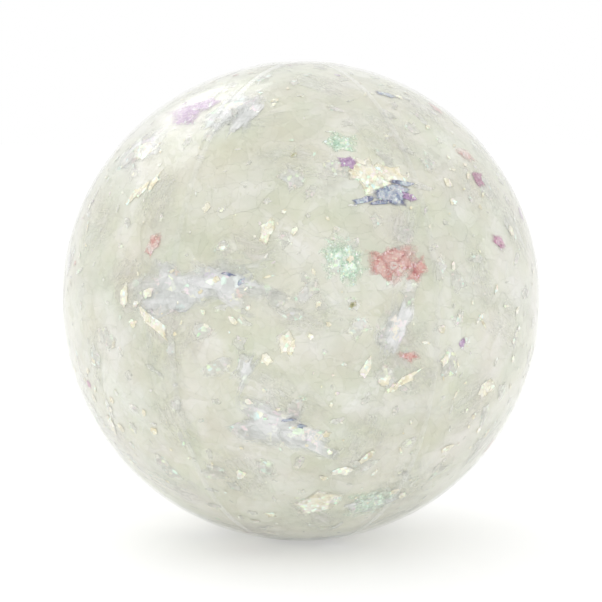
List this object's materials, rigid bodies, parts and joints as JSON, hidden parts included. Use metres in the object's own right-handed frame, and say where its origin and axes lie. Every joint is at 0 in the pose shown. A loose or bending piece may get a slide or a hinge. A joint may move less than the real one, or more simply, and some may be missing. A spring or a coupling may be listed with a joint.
{
  "type": "inflatable beach ball",
  "caption": "Clear inflatable beach ball of welded film panels, filled with loose shards of crumpled film, with a sunken stop valve and a captive plug.",
  "frame": {"origin": "centre of the ball", "axes": "+Z through the middle of the top end disc, -Y through the middle of the front panel, +Y along the valve's axis, out of the ball"},
  "size_m": [0.3, 0.3, 0.3006],
  "materials": {
    "clear_film": "clear glossy soft vinyl film with a faint milky tone",
    "end_disc_film": "clear glossy soft vinyl film, welded flat",
    "valve_vinyl": "soft moulded vinyl, cloudy and semi-gloss",
    "flap_film": "soft vinyl film, matt",
    "milky_film": "crumpled milky film, satin",
    "pearl_film": "crumpled iridescent film, pearly white",
    "cream_film": "crumpled iridescent film, cream to pale gold",
    "lilac_film": "crumpled iridescent film, lilac",
    "coral_film": "crumpled iridescent film, coral red",
    "mint_film": "crumpled iridescent film, mint green",
    "blue_film": "crumpled iridescent film, slate blue to indigo",
    "magenta_film": "crumpled iridescent film, magenta"
  },
  "bodies": {
    "ball": {"panel_1": "clear_film", "panel_2": "clear_film", "panel_3": "clear_film", "panel_4": "clear_film", "panel_5": "clear_film", "panel_6": "clear_film", "top_end_disc": "end_disc_film", "bottom_end_disc": "end_disc_film", "valve_flange": "valve_vinyl", "valve_collar": "valve_vinyl", "milky_sheets": "milky_film", "pearl_shards": "pearl_film", "cream_shards": "cream_film", "lilac_shards": "lilac_film", "coral_shards": "coral_film", "mint_shards": "mint_film", "blue_shards": "blue_film", "magenta_shards": "magenta_film"},
    "stem": {"valve_stem": "valve_vinyl"},
    "plug": {"valve_plug": "valve_vinyl", "plug_strap": "valve_vinyl"},
    "flap": {"check_flap": "flap_film"}
  },
  "joints": [
    {"name": "valve_pop", "type": "slide", "parent": "ball", "child": "stem", "axis": [0, 1, 0], "range_m": [0, 0.02], "deforming": ["valve_collar"]},
    {"name": "plug_swing", "type": "hinge", "parent": "stem", "child": "plug", "pos_m": [0, 0.1492, -0.0089], "axis": [-1, 0, 0], "range_deg": [0, 140]},
    {"name": "flap_swing", "type": "hinge", "parent": "stem", "child": "flap", "pos_m": [0, 0.13405, 0.0056], "axis": [-1, 0, 0], "range_deg": [0, 60], "stiffness_Nm_per_rad": 0.00002}
  ]
}
